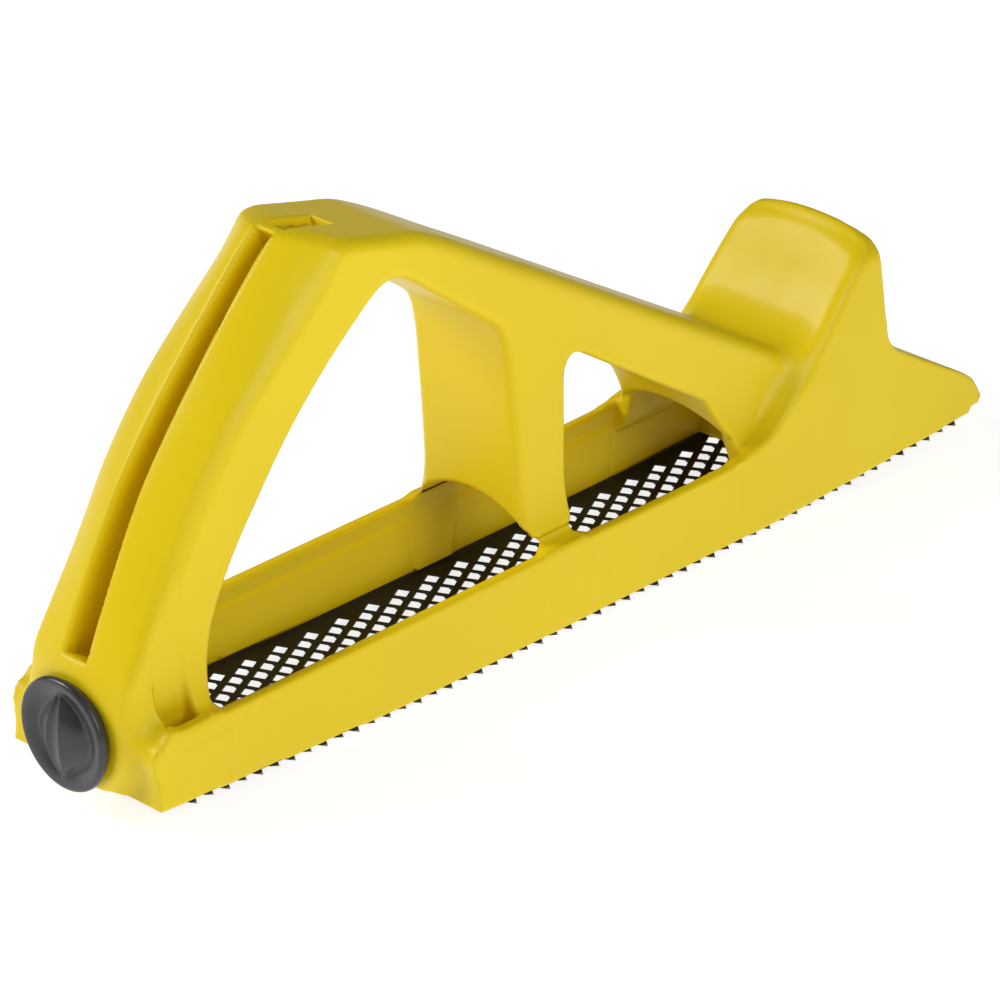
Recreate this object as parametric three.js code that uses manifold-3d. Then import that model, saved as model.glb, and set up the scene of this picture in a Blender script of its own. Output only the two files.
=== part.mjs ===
// Moulded rasp plane: a one-piece plastic body over a convex perforated blade.
// Millimetres, +X forward, +Y to the left, +Z up, tooth tips on Z = 0 at mid length.
import * as THREE from 'three';
import { mergeVertices } from 'three/addons/utils/BufferGeometryUtils.js';
import Module from 'manifold-3d';

const wasm = await Module();
wasm.setup();

// Driving sizes of the whole plane
const bladeLength = 250;
const bladeInset = 4;
const noseEnd = 4;
const bodyWidth = 46;
const bodyHeight = 111;
const gripWidth = 30;
const wall = 3;
const gap = 0.3;
const overrun = 6;

// Blade: plate, tooth lattice and the slots at its ends
const bladeWidth = 42;
const bladeThickness = 0.6;
const toothHeight = 1.4;
const toothBack = 0.75;
const toothSide = 1.87;
const toothPitch = 9.25;
const rowSpacing = 1.95;
const rowShift = 3.7;
const firstRowSide = 15.4;
const firstRowAhead = 3.1;
const holeAlongColumn = 2.6;
const holeAcrossColumn = 2.6;
const plainEnd = 3.6;
const plainEdge = 2.2;
const plainRoundSlot = 2.6;
const soleRise = 3.6;
const soleFlatShare = 0.3;
const soleCurveShare = 1.5;
const slotStrip = 4.7;

// Bow: the handle and the top bar, one curved beam with rounded edges
const innerRound = 2.5;
const handleRound = 9;
const barRound = 4;
const grooveWidth = 6.4;
const grooveDepth = 13;
const pocketDepth = 2.6;

// Tub: side walls, horn and nose, drafted from the sole upwards
const sideDraft = 0.061;
const hornHeight = 61;
const hornShoulder = 9;
const hornRound = 3.4;
const rimRound = 0.9;
const rimHeight = 21.2;
const heelHeight = 18.5;
const heelSlope = 2.6;

// Pillar between the bar and the sole, and the flared feet
const pillarRound = 1.6;
const footFlareHeight = 36;
const archHalfWidth = 17.2;
const archRise = 14.6;
const archSpring = 16;
const shoulderHeight = 33;
const shoulderInset = 1.2;
const hornFootShare = 0.672;
const hornFootLength = 18;

// Tension gear at the rear: knob, screw, nut and hook
const knobRadius = 12.1;
const knobRim = 3.4;
const knobEdge = 0.8;
const dishDepth = 1.3;
const gripBarHalf = 4.8;
const gripBarTall = 10.6;
const gripBarRise = 2.5;
const gripBarSlope = 2.4;
const hubRadius = 7;
const hubLength = 2.4;
const axisHeight = 18;
const screwRadius = 3;
const screwInKnob = 2.3;
const screwTail = 4.7;
const collarRadius = 13.8;
const collarSpread = 5;
const collarReach = 4.7;
const collarLift = 3;
const washerRadius = 7.6;
const washerThickness = 1;
const clipRadius = 5.4;
const clipThickness = 1;
const hookPlate = 2.5;
const hookWidth = 14;
const hookRise = 6;
const lugWidth = 8;
const nutWidth = 10;
const nutThickness = 5;
const tensionTravel = 3;

// Fixed hook at the nose and its screw
const hookLeafLength = 15;
const hookLeafHeight = 14.2;
const smallScrewRadius = 1.8;
const smallScrewHead = 3.5;
const smallScrewHeadHeight = 2;
const smallScrewGrip = 7;
const smallScrewSetback = 5;

// Sizes that follow from the ones above
const bodyLength = bladeInset + bladeLength + noseEnd;
const halfWidth = bodyWidth / 2;
const halfGrip = gripWidth / 2;
const middle = bladeInset + bladeLength / 2;
const plateTop = toothHeight + bladeThickness;
const bodySole = plateTop + gap;
const rearWall = wall + gap;
const bladeEnd = bladeInset + bladeLength;
const hookRear = bladeInset + slotStrip + gap;
const noseLugFront = bladeEnd - slotStrip - gap;
const knobBack = -(collarReach + gap);
const hubFace = knobBack + hubLength;
const washerSeat = hubFace + washerThickness + 2 * gap;
const nutFace = hookRear + hookPlate + gap;
const noseHookRear = noseLugFront - hookLeafLength;
const noseScrewAt = noseHookRear + smallScrewSetback;

// Bow stations from the heel to the horn, as shares of body length and body height:
// outer x, outer z, inner x, inner z, and how far the outer rounding is the handle's
const bowShares = [
  [0.0, 0.135, 0.072, 0.135, 0.0],
  [-0.017, 0.25, 0.073, 0.22, 0.25],
  [-0.0125, 0.322, 0.085, 0.346, 0.6],
  [0.0182, 0.476, 0.1027, 0.4324, 0.9],
  [0.0543, 0.62, 0.1337, 0.5387, 1],
  [0.093, 0.7342, 0.169, 0.6423, 1],
  [0.1337, 0.845, 0.2074, 0.736, 1],
  [0.1717, 0.9405, 0.2461, 0.8135, 1],
  [0.1919, 0.982, 0.2733, 0.8613, 0.9],
  [0.2039, 1.0, 0.285, 0.872, 0.8],
  [0.2248, 0.9964, 0.293, 0.8703, 0.7],
  [0.2946, 0.9532, 0.3023, 0.8595, 0.5],
  [0.3372, 0.9189, 0.312, 0.8432, 0.3],
  [0.3798, 0.8676, 0.3411, 0.7928, 0.1],
  [0.4341, 0.7928, 0.4, 0.6901, 0],
  [0.4884, 0.7207, 0.4535, 0.6126, 0],
  [0.5426, 0.6459, 0.5054, 0.545, 0],
  [0.6899, 0.4432, 0.6547, 0.3225, 0],
  [0.7171, 0.4063, 0.6686, 0.2838, 0],
  [0.7442, 0.3757, 0.6744, 0.2523, 0],
  [0.7713, 0.3649, 0.6802, 0.2207, 0],
  [0.8023, 0.3901, 0.688, 0.1847, 0],
];

// Where the groove and the shallow pocket above it begin and end, in bow stations
const grooveStations = [1.95, 8.6];
const pocketStations = [9.25, 10.9];

// Side view of the walls and the nose above the sole, from the nose to the heel
const noseShares = [
  [0.98, 0], [0.982, 0.0575], [1, 0.0703], [0.9961, 0.0901], [0.9895, 0.1189],
  [0.9744, 0.1477], [0.9194, 0.2243], [0.8783, 0.2829], [0.85, 0.3], [0.69, 0.191],
];

// Side view of the horn, from its front foot over the crown to its rear foot
const hornShares = [
  [0.9, 0.1], [0.9, 0.251], [0.8798, 0.2829], [0.8752, 0.3018], [0.8721, 0.3901],
  [0.8678, 0.4685], [0.8636, 0.5225], [0.8595, 0.6],
  [0.8279, 0.4775], [0.8109, 0.436], [0.7919, 0.3847], [0.7733, 0.3342],
  [0.7492, 0.2775], [0.7279, 0.2288], [0.7035, 0.1982], [0.6748, 0.191], [0.66, 0.1],
];

// Hollow of the horn, inside its shell
const hornHollowShares = [
  [0.86, 0], [0.862, 0.2703], [0.857, 0.45], [0.845, 0.5],
  [0.8217, 0.4144], [0.8, 0.3604], [0.7713, 0.2973], [0.743, 0.225], [0.725, 0.2],
];

// Hollow behind the front window, between the flanks of the bar
const barHollowShares = [
  [0.703, 0.12], [0.682, 0.29], [0.71, 0.365], [0.776, 0.285], [0.83, 0.26], [0.83, 0.12],
];

// Knob's dish: radius share and depth share of two points of its profile
const dishShares = [0.68, 0.45, 0.36, 0.85];

// Pillar outline with the fillets that it makes with the bar
const pillarShares = [
  [0.385, 0.76], [0.4, 0.6901], [0.4081, 0.6694], [0.4151, 0.6342], [0.4194, 0.5721],
  [0.4248, 0.4081], [0.4298, 0.15], [0.4849, 0.15], [0.4849, 0.5189], [0.4907, 0.5459],
  [0.5054, 0.545], [0.52, 0.62],
];

const along = (share) => share * bodyLength;
const up = (share) => share * bodyHeight;
const sideOutline = (shares) => shares.map(([x, z]) => new THREE.Vector2(along(x), up(z)));

// Rise of the sole above its flat middle land, growing toward both ends
function camber(x) {
  const fraction = Math.abs(x - middle) / (bodyLength / 2);
  const beyond = Math.max(0, fraction - soleFlatShare) / (1 - soleFlatShare);
  return soleRise * beyond ** soleCurveShare;
}

// A three.js geometry as a closed solid, and back
function toSolid(geometry) {
  const bare = geometry.clone();
  bare.deleteAttribute('normal');
  bare.deleteAttribute('uv');
  const merged = mergeVertices(bare);
  return new wasm.Manifold(new wasm.Mesh({
    numProp: 3,
    vertProperties: new Float32Array(merged.attributes.position.array),
    triVerts: new Uint32Array(merged.index.array),
  }));
}

function toGeometry(solid) {
  const data = solid.getMesh();
  const geometry = new THREE.BufferGeometry();
  geometry.setAttribute('position', new THREE.BufferAttribute(data.vertProperties, 3));
  geometry.setIndex(new THREE.BufferAttribute(data.triVerts, 1));
  geometry.computeVertexNormals();
  return geometry;
}

function joined(solids) {
  return solids.reduce((sum, solid) => sum.add(solid));
}

function cut(solid, cutters) {
  return cutters.reduce((rest, cutter) => rest.subtract(cutter), solid);
}

// Outline in X and Z, extruded across the plane, with round edges where asked
function acrossSlab(points, half, round = 0) {
  const geometry = new THREE.ExtrudeGeometry(new THREE.Shape(points), {
    depth: 2 * (half - round),
    bevelEnabled: round > 0,
    bevelThickness: round,
    bevelSize: round,
    bevelOffset: -round,
    bevelSegments: 2,
    curveSegments: 6,
  });
  geometry.translate(0, 0, round - half);
  geometry.rotateX(Math.PI / 2);
  return toSolid(geometry);
}

// Outline in Y and Z, extruded forward from one x to another
function lengthwiseSlab(shape, from, to) {
  const geometry = new THREE.ExtrudeGeometry(shape, {
    depth: to - from,
    bevelEnabled: false,
    curveSegments: 6,
  });
  geometry.rotateX(Math.PI / 2);
  geometry.rotateZ(Math.PI / 2);
  geometry.translate(from, 0, 0);
  return toSolid(geometry);
}

function block(x0, x1, half, z0, z1) {
  const geometry = new THREE.BoxGeometry(x1 - x0, 2 * half, z1 - z0);
  geometry.translate((x0 + x1) / 2, 0, (z0 + z1) / 2);
  return toSolid(geometry);
}

// Disc or ring on the screw's axis; the bore is left out when it is zero
function ring(x0, x1, radius, bore = 0, segments = 32) {
  const profile = [[bore, x0], [radius, x0], [radius, x1], [bore, x1]];
  const points = profile.map(([r, x]) => new THREE.Vector2(r, x));
  if (bore > 0) points.push(points[0].clone());
  const geometry = new THREE.LatheGeometry(points, segments);
  geometry.rotateZ(-Math.PI / 2);
  geometry.translate(0, 0, axisHeight);
  return toSolid(geometry);
}

// Upright pin or hole at x on the centre line
function upright(x, z0, z1, radius) {
  const geometry = new THREE.CylinderGeometry(radius, radius, z1 - z0, 20);
  geometry.rotateX(Math.PI / 2);
  geometry.translate(x, 0, (z0 + z1) / 2);
  return toSolid(geometry);
}

// The bow's station at a place between two rows of the table
function bowAt(place) {
  const row = Math.min(Math.floor(place), bowShares.length - 2);
  const blend = place - row;
  const mixed = bowShares[row].map((v, k) => v + (bowShares[row + 1][k] - v) * blend);
  const outer = new THREE.Vector2(along(mixed[0]), up(mixed[1]));
  const inner = new THREE.Vector2(along(mixed[2]), up(mixed[3]));
  return { outer, inner, grip: mixed[4] };
}

// D-shaped section: small rounding inside the hand opening, large rounding outside
function bowSection(depth, grip) {
  const wanted = barRound + (handleRound - barRound) * grip;
  const outerRound = Math.min(wanted, (depth - innerRound) / 2, halfGrip - grooveWidth / 2);
  const corner = (u, v, radius, from, steps) => {
    const arc = [];
    for (let k = 0; k <= steps; k += 1) {
      const angle = from + (Math.PI / 2) * (k / steps);
      arc.push(new THREE.Vector2(u + radius * Math.cos(angle), v + radius * Math.sin(angle)));
    }
    return arc;
  };
  return [
    ...corner(depth - outerRound, halfGrip - outerRound, outerRound, 0, 4),
    ...corner(innerRound, halfGrip - innerRound, innerRound, Math.PI / 2, 2),
    ...corner(innerRound, innerRound - halfGrip, innerRound, Math.PI, 2),
    ...corner(depth - outerRound, outerRound - halfGrip, outerRound, -Math.PI / 2, 4),
  ];
}

// Loft of the handle and the bar through all stations
function bow() {
  const rings = bowShares.map((row, k) => {
    const { outer, inner, grip } = bowAt(k);
    const depth = outer.distanceTo(inner);
    const way = outer.clone().sub(inner).divideScalar(depth);
    return bowSection(depth, grip).map(({ x: u, y: v }) => (
      [inner.x + way.x * u, v, inner.y + way.y * u]
    ));
  });
  const count = rings[0].length;
  const index = [];
  for (let k = 0; k + 1 < rings.length; k += 1) {
    for (let j = 0; j < count; j += 1) {
      const a = k * count + j;
      const b = k * count + ((j + 1) % count);
      index.push(a, a + count, b, b, a + count, b + count);
    }
  }
  const last = (rings.length - 1) * count;
  for (let j = 1; j + 1 < count; j += 1) {
    index.push(0, j, j + 1, last, last + j + 1, last + j);
  }
  const geometry = new THREE.BufferGeometry();
  geometry.setAttribute('position', new THREE.Float32BufferAttribute(rings.flat(2), 3));
  geometry.setIndex(index);
  return toSolid(geometry);
}

// Trough in the bow's outer face between two places along it
function trough(from, to, depth) {
  const steps = 8;
  const outside = [];
  const inside = [];
  for (let k = 0; k <= steps; k += 1) {
    const { outer, inner } = bowAt(from + (to - from) * (k / steps));
    const way = outer.clone().sub(inner).normalize();
    outside.push(outer.clone().addScaledVector(way, overrun));
    inside.unshift(outer.clone().addScaledVector(way, -depth));
  }
  return acrossSlab([...inside, ...outside], grooveWidth / 2);
}

// Narrows a solid's sides upwards by the draft that lets it leave the mould
function drafted(solid) {
  return solid.warp((point) => {
    point[1] *= 1 - (sideDraft * point[2]) / halfWidth;
  });
}

// End view of the horn's crown over straight sides
function crown(inset) {
  const half = halfWidth - inset;
  const top = hornHeight - inset;
  const shape = new THREE.Shape();
  shape.moveTo(-half, 0);
  shape.lineTo(half, 0);
  shape.lineTo(half, top - hornShoulder);
  shape.quadraticCurveTo(half, top, 0, top);
  shape.quadraticCurveTo(-half, top, -half, top - hornShoulder);
  return lengthwiseSlab(shape, 0, bodyLength);
}

// Side walls, horn and nose as one drafted shell, open above the blade
function tub() {
  const walls = [
    ...sideOutline(noseShares),
    new THREE.Vector2(heelSlope, rimHeight),
    new THREE.Vector2(0, heelHeight),
    new THREE.Vector2(0, 0),
  ];
  const heel = along(bowShares[0][2]);
  const hollow = [
    ...sideOutline(hornHollowShares),
    new THREE.Vector2(along(hornHollowShares.at(-1)[0]), rimHeight + overrun),
    new THREE.Vector2(heel, rimHeight + overrun),
    new THREE.Vector2(heel, 0),
  ];
  const outer = joined([
    drafted(acrossSlab(walls, halfWidth, rimRound)),
    drafted(acrossSlab(sideOutline(hornShares), halfWidth, hornRound).intersect(crown(0))),
  ]);
  return outer.subtract(drafted(acrossSlab(hollow, halfWidth - wall).intersect(crown(wall))));
}

// Sides that spread from the grip's width at a height down to a foot on the side walls
function flare(from, to, height, foot = rimHeight, topHalf = halfGrip) {
  const footHalf = halfWidth - sideDraft * foot - rimRound;
  const shape = new THREE.Shape();
  shape.moveTo(-footHalf, archSpring);
  shape.lineTo(footHalf, archSpring);
  shape.lineTo(footHalf, foot);
  shape.quadraticCurveTo(topHalf, foot, topHalf, height);
  shape.lineTo(-topHalf, height);
  shape.quadraticCurveTo(-topHalf, foot, -footHalf, foot);
  return lengthwiseSlab(shape, from, to);
}

// Arch through the pillar, over the blade
function arch() {
  const shape = new THREE.Shape();
  const foot = halfWidth - wall;
  shape.moveTo(-foot, 0);
  shape.lineTo(foot, 0);
  shape.lineTo(foot, archSpring - wall);
  shape.lineTo(archHalfWidth, archSpring);
  shape.absellipse(0, archSpring, archHalfWidth, archRise, 0, Math.PI, false);
  shape.lineTo(-foot, archSpring - wall);
  const from = along(bowShares[0][2]) + overrun;
  return lengthwiseSlab(shape, from, along(hornHollowShares[0][0]) - overrun);
}

// Everything under the cambered seat on the blade
function underSeat() {
  const steps = 20;
  const points = [];
  for (let k = 0; k <= steps; k += 1) {
    const x = -2 * overrun + (bodyLength + 4 * overrun) * (k / steps);
    points.push(new THREE.Vector2(x, bodySole + camber(x)));
  }
  points.push(new THREE.Vector2(bodyLength + 2 * overrun, -overrun));
  points.push(new THREE.Vector2(-2 * overrun, -overrun));
  return acrossSlab(points.reverse(), halfWidth + overrun);
}

// Collar that grows from the rear wall towards the knob as a short cone
function collar() {
  const geometry = new THREE.CylinderGeometry(
    collarRadius,
    collarRadius + collarSpread,
    collarReach + rearWall,
    48,
  );
  geometry.rotateZ(Math.PI / 2);
  geometry.translate((rearWall - collarReach) / 2, 0, axisHeight);
  return toSolid(geometry);
}

// Slope that keeps the collar's foot clear of the work
function collarFoot() {
  const seat = bodySole + camber(0);
  const points = [[0, 0], [0, seat], [-collarReach, seat + collarLift],
    [-collarReach - overrun, seat + collarLift], [-collarReach - overrun, 0]];
  return acrossSlab(points.map(([x, z]) => new THREE.Vector2(x, z)), halfWidth);
}

// Room for the tension gear: screw hole, washer seat and the slide's channel
function tensionCuts() {
  const channelTop = axisHeight + hookRise + gap;
  const channelFront = along(bowShares[1][2]) + overrun;
  return [
    ring(-overrun - collarReach, overrun, screwRadius + gap),
    ring(-overrun - collarReach, washerSeat, washerRadius + gap),
    block(rearWall, channelFront, hookWidth / 2 + gap, 0, channelTop),
  ];
}

// Pocket and pilot hole for the fixed hook under the nose
function noseCuts() {
  const roof = hookLeafHeight + gap;
  const pilot = smallScrewRadius + gap;
  return [
    block(noseHookRear - gap, noseLugFront + gap, hookWidth / 2 + gap, 0, roof),
    upright(noseScrewAt, roof - gap, hookLeafHeight + smallScrewGrip + gap, pilot),
  ];
}

function body() {
  const heel = along(bowShares[0][2]);
  const pillarRear = along(pillarShares[6][0]);
  const pillarFront = along(pillarShares[7][0]);
  const pillar = acrossSlab(sideOutline(pillarShares), halfGrip, pillarRound);
  const hornFoot = along(hornFootShare);
  const heelBlock = block(gap, heel, halfWidth - wall, 0, archSpring);
  const solid = joined([
    tub(),
    bow(),
    pillar,
    heelBlock,
    collar(),
    flare(rimRound, rearWall, shoulderHeight, heelHeight, halfGrip - shoulderInset),
    flare(heel - 2 * wall, heel, footFlareHeight),
    flare(pillarRear, pillarFront, footFlareHeight),
    flare(hornFoot, hornFoot + hornFootLength, footFlareHeight),
  ]);
  return cut(solid, [
    arch(),
    acrossSlab(sideOutline(barHollowShares), halfGrip - wall),
    trough(...grooveStations, grooveDepth),
    trough(...pocketStations, pocketDepth),
    collarFoot(),
    ...tensionCuts(),
    ...noseCuts(),
    underSeat(),
  ]);
}

// Sheared lattice of the blade: columns of holes with a narrow strip round each hole.
// Even cells are holes and odd cells are strips; corner (i, j) belongs to one hole only.
const column = new THREE.Vector2(-rowShift, -rowSpacing);
const across = new THREE.Vector2(toothPitch, 0).addScaledVector(column, 2);
const rows = Math.floor((firstRowSide + bladeWidth / 2 - plainEdge) / rowSpacing);
const firstHole = new THREE.Vector2(middle + firstRowAhead, firstRowSide);

function latticePoint(i, j) {
  const alongShare = holeAlongColumn / column.length() / 2;
  const acrossShare = holeAcrossColumn / across.length() / 2;
  const line = (k, share) => Math.floor(k / 2) + (k % 2 === 0 ? -share : share);
  return firstHole.clone()
    .addScaledVector(column, line(i, alongShare))
    .addScaledVector(across, line(j, acrossShare));
}

function holeCentre(m, n) {
  return firstHole.clone().addScaledVector(column, m).addScaledVector(across, n);
}

// Holes fill the blade from its plain left margin to the toothed right edge, but for
// its ends and the room round the two slots
function isHole(m, n) {
  const centre = holeCentre(m, n);
  const fromEnd = bladeLength / 2 - Math.abs(centre.x - middle);
  const row = Math.round((firstHole.y - centre.y) / rowSpacing);
  const slotHalf = lugWidth / 2 + gap + plainRoundSlot;
  const slotReach = slotStrip + 2 * gap + hookPlate + tensionTravel + plainRoundSlot;
  const nearSlot = Math.abs(centre.y) < slotHalf && fromEnd < slotReach;
  return row >= 0 && row <= rows && fromEnd > plainEnd && !nearSlot;
}

// A strip cell is meshed on the lattice where the holes on its sides are all there
function isCell(i, j) {
  const holes = [];
  for (const p of new Set([i - (i % 2 !== 0), i + (i % 2 !== 0)])) {
    for (const q of new Set([j - (j % 2 !== 0), j + (j % 2 !== 0)])) {
      holes.push(isHole(p / 2, q / 2));
    }
  }
  const found = holes.filter(Boolean).length;
  return holes.length === 4 ? found > 2 : found === holes.length;
}

// Outline of a rectangle, with a point at every tooth pitch along its length
function platePath(x0, x1, half) {
  const steps = Math.max(1, Math.round((x1 - x0) / toothPitch));
  const near = [];
  const far = [];
  for (let k = 0; k <= steps; k += 1) {
    const x = x0 + (x1 - x0) * (k / steps);
    near.push(new THREE.Vector2(x, -half));
    far.unshift(new THREE.Vector2(x, half));
  }
  return [...near, ...far];
}

// Swaps the side that two facets share while that makes them rounder, because a
// long needle would span the camber instead of following it
function evened(points, facets) {
  const angle = (at, a, b) => points[a].clone().sub(points[at])
    .angleTo(points[b].clone().sub(points[at]));
  for (let swaps = 1; swaps > 0;) {
    swaps = 0;
    const owner = new Map();
    facets.forEach(([a, b, c], n) => {
      owner.set(`${a},${b}`, [n, c]).set(`${b},${c}`, [n, a]).set(`${c},${a}`, [n, b]);
    });
    const busy = new Set();
    for (const [side, [n, c]] of owner) {
      const [a, b] = side.split(',').map(Number);
      const [other, d] = owner.get(`${b},${a}`) ?? [n, c];
      const free = other !== n && !busy.has(n) && !busy.has(other);
      if (free && angle(c, a, b) + angle(d, a, b) > Math.PI * 1.0001) {
        facets[n] = [c, a, d];
        facets[other] = [d, b, c];
        busy.add(n).add(other);
        swaps += 1;
      }
    }
  }
  return facets;
}

// Collects the corners and facets of the blade's two faces and its walls
class PlateMesh {
  points = [];

  index = [];

  numbers = new Map();

  number(key, place) {
    if (!this.numbers.has(key)) {
      this.numbers.set(key, this.points.length);
      this.points.push(place());
    }
    return this.numbers.get(key);
  }

  // Corner of the lattice; below, the rear side of each hole runs to one tooth's tip
  corner([i, j], top) {
    const hole = [(i - 1) / 2, Math.floor(j / 2)];
    if (top || i % 2 === 0 || !isHole(...hole)) {
      return this.number(`${i},${j},${top}`, () => this.level(latticePoint(i, j), top));
    }
    return this.number(`tip ${hole}`, () => {
      const { x, y } = holeCentre(...hole);
      return new THREE.Vector3(x - toothBack, y - toothSide, camber(x));
    });
  }

  level({ x, y }, top) {
    return new THREE.Vector3(x, y, camber(x) + (top ? plateTop : toothHeight));
  }

  facet(a, b, c) {
    if (a !== b && b !== c && c !== a) this.index.push(a, b, c);
  }

  face(loop, top) {
    const [a, b, c, d] = top ? loop : [...loop].reverse();
    this.facet(a, b, c);
    this.facet(a, c, d);
  }

  wall(lowA, lowB, highB, highA) {
    this.facet(lowA, lowB, highB);
    this.facet(lowA, highB, highA);
  }

  // Face between the plate's outline and the loops cut out of it
  sheet(outline, loops, top) {
    const flat = (numbers) => numbers.map((k) => (
      new THREE.Vector2(this.points[k].x, this.points[k].y)
    ));
    const all = [outline, ...loops].flat();
    const facets = THREE.ShapeUtils.triangulateShape(flat(outline), loops.map(flat));
    evened(flat(all), facets).forEach(([a, b, c]) => {
      if (top) this.facet(all[a], all[b], all[c]);
      else this.facet(all[a], all[c], all[b]);
    });
  }

  solid() {
    const geometry = new THREE.BufferGeometry().setFromPoints(this.points);
    geometry.setIndex(this.index);
    return toSolid(geometry);
  }
}

// Closed loops round the meshed part of the lattice, as lists of its corners
function latticeLoops(cells) {
  const next = new Map();
  cells.forEach(([i, j]) => {
    const ring4 = [[i, j], [i, j + 1], [i + 1, j + 1], [i + 1, j]];
    const beyond = [[i - 1, j], [i, j + 1], [i + 1, j], [i, j - 1]];
    beyond.forEach((cell, k) => {
      if (!isCell(...cell)) next.set(`${ring4[k]}`, ring4[(k + 1) % 4]);
    });
  });
  const loops = [];
  while (next.size > 0) {
    const loop = [];
    let key = next.keys().next().value;
    while (next.has(key)) {
      const corner = next.get(key);
      next.delete(key);
      loop.push(corner);
      key = `${corner}`;
    }
    loops.push(loop);
  }
  return loops;
}

// Blade: a thin cambered plate with its lattice of holes, a tooth behind each hole
function blade() {
  const mesh = new PlateMesh();
  const span = 2 * Math.ceil((bladeLength + bladeWidth) / across.length());
  const cells = [];
  for (let i = -span; i <= span; i += 1) {
    for (let j = -span; j <= span; j += 1) {
      if (isCell(i, j)) cells.push([i, j]);
    }
  }
  cells.forEach(([i, j]) => {
    const ring4 = [[i, j], [i + 1, j], [i + 1, j + 1], [i, j + 1]];
    const high = ring4.map((place) => mesh.corner(place, true));
    const low = ring4.map((place) => mesh.corner(place, false));
    if (i % 2 !== 0 || j % 2 !== 0) {
      mesh.face(high, true);
      mesh.face(low, false);
      return;
    }
    low.forEach((corner, k) => {
      const after = (k + 1) % 4;
      mesh.wall(low[after], corner, high[k], high[after]);
    });
  });
  const slotHalf = lugWidth / 2 + gap;
  const hookRoom = hookPlate + tensionTravel + gap;
  const paths = [
    platePath(bladeInset, bladeEnd, bladeWidth / 2),
    platePath(hookRear - gap, hookRear + hookRoom, slotHalf),
    platePath(noseLugFront - hookPlate - gap, noseLugFront + gap, slotHalf),
  ];
  const loops = latticeLoops(cells);
  const numbered = (top) => paths.map((path, n) => path.map((point, k) => (
    mesh.number(`path ${n} ${k} ${top}`, () => mesh.level(point, top))
  )));
  [true, false].forEach((top) => {
    const [outline, ...slots] = numbered(top);
    const inner = loops.map((loop) => {
      const numbers = loop.map((place) => mesh.corner(place, top));
      return numbers.filter((number, k) => number !== numbers[(k + 1) % numbers.length]);
    });
    mesh.sheet(outline, [...slots, ...inner], top);
  });
  numbered(true).forEach((high, n) => {
    const low = numbered(false)[n];
    high.forEach((number, k) => {
      const after = (k + 1) % high.length;
      if (n === 0) mesh.wall(low[k], low[after], high[after], number);
      else mesh.wall(low[after], low[k], number, high[after]);
    });
  });
  return mesh.solid();
}

// Radius of an arc from its half chord and its rise
function arcRadius(half, rise) {
  return (half * half + rise * rise) / (2 * rise);
}

// Grip bar of the knob: an almond whose sides slope in, under a lengthwise dome
function gripBar(foot, ridge, tips) {
  const radius = arcRadius(gripBarTall, gripBarHalf);
  const reach = Math.asin(gripBarTall / radius);
  const shape = new THREE.Shape();
  shape.absarc(gripBarHalf - radius, axisHeight, radius, -reach, reach, false);
  shape.absarc(radius - gripBarHalf, axisHeight, radius, Math.PI - reach, Math.PI + reach, false);
  const almond = lengthwiseSlab(shape, ridge, foot).warp((point) => {
    const rise = (foot - point[0]) / (foot - ridge);
    point[1] *= 1 - (rise * gripBarSlope) / gripBarHalf;
  });
  const domeRadius = arcRadius(gripBarTall, tips - ridge);
  const dome = new THREE.CylinderGeometry(domeRadius, domeRadius, knobRadius, 72);
  dome.translate(ridge + domeRadius, 0, axisHeight);
  return almond.intersect(toSolid(dome));
}

// Knob: a disc with a hub and a shallow dished face, crossed by its grip bar
function knob() {
  const face = knobBack - knobRim;
  const profile = [
    [0, hubFace], [hubRadius, hubFace], [hubRadius, knobBack],
    [knobRadius - knobEdge, knobBack], [knobRadius, knobBack - knobEdge],
    [knobRadius, face + knobEdge], [knobRadius - knobEdge, face],
    [knobRadius - 2 * knobEdge, face], [knobRadius * dishShares[0], face + dishDepth * dishShares[1]],
    [knobRadius * dishShares[2], face + dishDepth * dishShares[3]], [0, face + dishDepth],
  ];
  const points = profile.map(([r, x]) => new THREE.Vector2(r, -x));
  const geometry = new THREE.LatheGeometry(points, 32);
  geometry.rotateZ(Math.PI / 2);
  geometry.translate(0, 0, axisHeight);
  const bar = gripBar(knobBack - knobEdge, face - gripBarRise, face + knobEdge);
  const socket = ring(knobBack - screwInKnob, hubFace + overrun, screwRadius + gap);
  return toSolid(geometry).add(bar).subtract(socket);
}

// Tension screw from inside the knob, through wall, clip, hook and nut
function tensionScrew() {
  const tail = nutFace + nutThickness + tensionTravel + screwTail / 2;
  return ring(knobBack - screwInKnob + gap, tail, screwRadius, 0, 24);
}

// Square nut that lies against the hook's plate
function tensionNut() {
  const half = nutWidth / 2;
  const low = axisHeight - half;
  const nut = block(nutFace, nutFace + nutThickness, half, low, axisHeight + half);
  const bore = ring(nutFace - overrun, nutFace + nutThickness + overrun, screwRadius + gap, 0, 24);
  return nut.subtract(bore);
}

// Sliding hook: a plate across the channel with a narrow lug through the blade's slot
function tensionHook() {
  const shape = new THREE.Shape();
  const low = plateTop + camber(hookRear) + 2 * gap;
  const tip = toothHeight + camber(hookRear + hookPlate);
  const high = axisHeight + hookRise;
  const half = hookWidth / 2;
  shape.moveTo(-lugWidth / 2, tip);
  shape.lineTo(lugWidth / 2, tip);
  shape.lineTo(lugWidth / 2, low);
  shape.lineTo(half, low);
  shape.lineTo(half, axisHeight);
  shape.quadraticCurveTo(half, high, 0, high);
  shape.quadraticCurveTo(-half, high, -half, axisHeight);
  shape.lineTo(-half, low);
  shape.lineTo(-lugWidth / 2, low);
  const plate = lengthwiseSlab(shape, hookRear, hookRear + hookPlate);
  return plate.subtract(ring(hookRear - overrun, hookRear + overrun, screwRadius + gap, 0, 24));
}

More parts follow.
